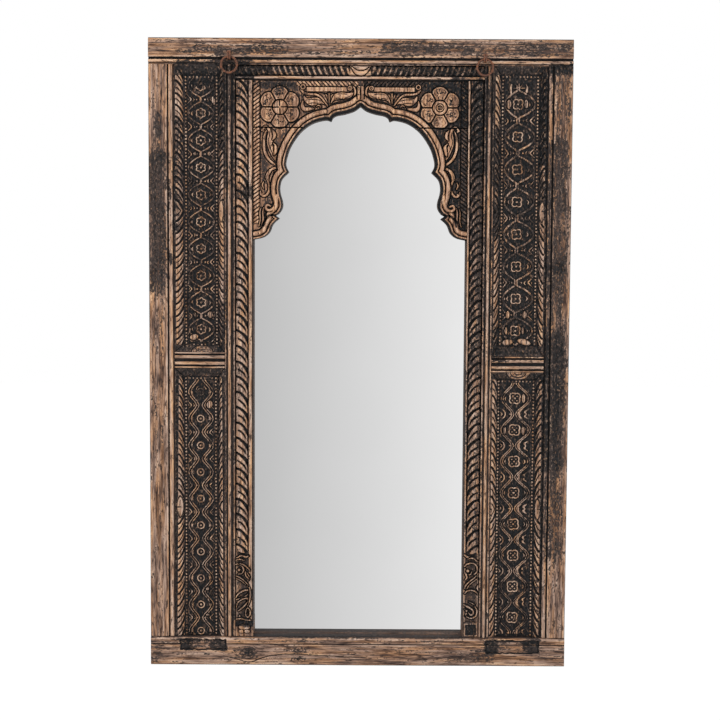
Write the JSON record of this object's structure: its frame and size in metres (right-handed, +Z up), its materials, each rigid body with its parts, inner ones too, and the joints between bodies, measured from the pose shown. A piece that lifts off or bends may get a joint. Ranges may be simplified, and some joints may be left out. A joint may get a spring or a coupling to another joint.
{
  "type": "carved wall mirror",
  "caption": "Tall wall mirror in a carved timber window surround, with a cusped arch over the glass, carved side panels, twisted jambs and hanging iron rings.",
  "frame": {"origin": "centre of the middle batten's back face, which lies against the wall, at half the height and width", "axes": "+X to the viewer's right, +Y into the wall, +Z up; the glass faces -Y"},
  "size_m": [0.9, 0.0841, 1.35],
  "materials": {
    "worn_teak": "old teak with worn dark paint in the grain",
    "carved_teak": "carved old teak, dark paint in the hollows and bare ridges",
    "silvered_glass": "clear float glass silvered on the back",
    "plywood": "plain plywood",
    "pine": "sawn pine",
    "rusty_iron": "wrought iron with brown rust",
    "zinc_plated_steel": "bright zinc plate"
  },
  "bodies": {
    "frame": {"outer_stile_left": "worn_teak", "outer_stile_right": "worn_teak", "top_rail": "worn_teak", "bottom_rail": "worn_teak", "rib_strip_left": "worn_teak", "rib_strip_right": "worn_teak", "upper_panel_left": "carved_teak", "upper_panel_right": "carved_teak", "lower_panel_left": "carved_teak", "lower_panel_right": "carved_teak", "mid_rail_left": "worn_teak", "mid_rail_right": "worn_teak", "plinth_block_left": "worn_teak", "plinth_block_right": "worn_teak", "rope_jamb_left": "carved_teak", "rope_jamb_right": "carved_teak", "rope_lintel": "carved_teak", "arch_head": "carved_teak", "arch_bracket_left": "carved_teak", "arch_bracket_right": "carved_teak", "mirror_glass": "silvered_glass", "backing_board": "plywood", "glass_stop_left": "pine", "glass_stop_right": "pine", "glass_stop_bottom": "pine", "glass_stop_top": "pine", "back_batten_top": "pine", "back_batten_middle": "pine", "back_batten_bottom": "pine", "ring_staple_left": "rusty_iron", "ring_staple_right": "rusty_iron", "hanger_strap_left": "zinc_plated_steel", "hanger_strap_right": "zinc_plated_steel", "hanger_screw_left_upper": "zinc_plated_steel", "hanger_screw_left_lower": "zinc_plated_steel", "hanger_screw_right_upper": "zinc_plated_steel", "hanger_screw_right_lower": "zinc_plated_steel", "batten_screw_top_outer_left": "zinc_plated_steel", "batten_screw_top_inner_left": "zinc_plated_steel", "batten_screw_top_inner_right": "zinc_plated_steel", "batten_screw_top_outer_right": "zinc_plated_steel", "batten_screw_middle_outer_left": "zinc_plated_steel", "batten_screw_middle_inner_left": "zinc_plated_steel", "batten_screw_middle_inner_right": "zinc_plated_steel", "batten_screw_middle_outer_right": "zinc_plated_steel", "batten_screw_bottom_outer_left": "zinc_plated_steel", "batten_screw_bottom_inner_left": "zinc_plated_steel", "batten_screw_bottom_inner_right": "zinc_plated_steel", "batten_screw_bottom_outer_right": "zinc_plated_steel"},
    "left_ring": {"iron_ring_left": "rusty_iron"},
    "right_ring": {"iron_ring_right": "rusty_iron"},
    "left_hanger_ring": {"hanger_ring_left": "zinc_plated_steel"},
    "right_hanger_ring": {"hanger_ring_right": "zinc_plated_steel"}
  },
  "joints": [
    {"name": "left_ring_swing", "type": "hinge", "parent": "frame", "child": "left_ring", "pos_m": [-0.2785, -0.07755, 0.635], "axis": [-1, 0, 0], "range_deg": [0, 180]},
    {"name": "right_ring_swing", "type": "hinge", "parent": "frame", "child": "right_ring", "pos_m": [0.2625, -0.07755, 0.6315], "axis": [-1, 0, 0], "range_deg": [0, 180]},
    {"name": "left_hanger_swing", "type": "hinge", "parent": "frame", "child": "left_hanger_ring", "pos_m": [-0.423, -0.0115, 0.485], "axis": [1, 0, 0], "range_deg": [0, 180]},
    {"name": "right_hanger_swing", "type": "hinge", "parent": "frame", "child": "right_hanger_ring", "pos_m": [0.423, -0.0115, 0.485], "axis": [1, 0, 0], "range_deg": [0, 180]}
  ]
}
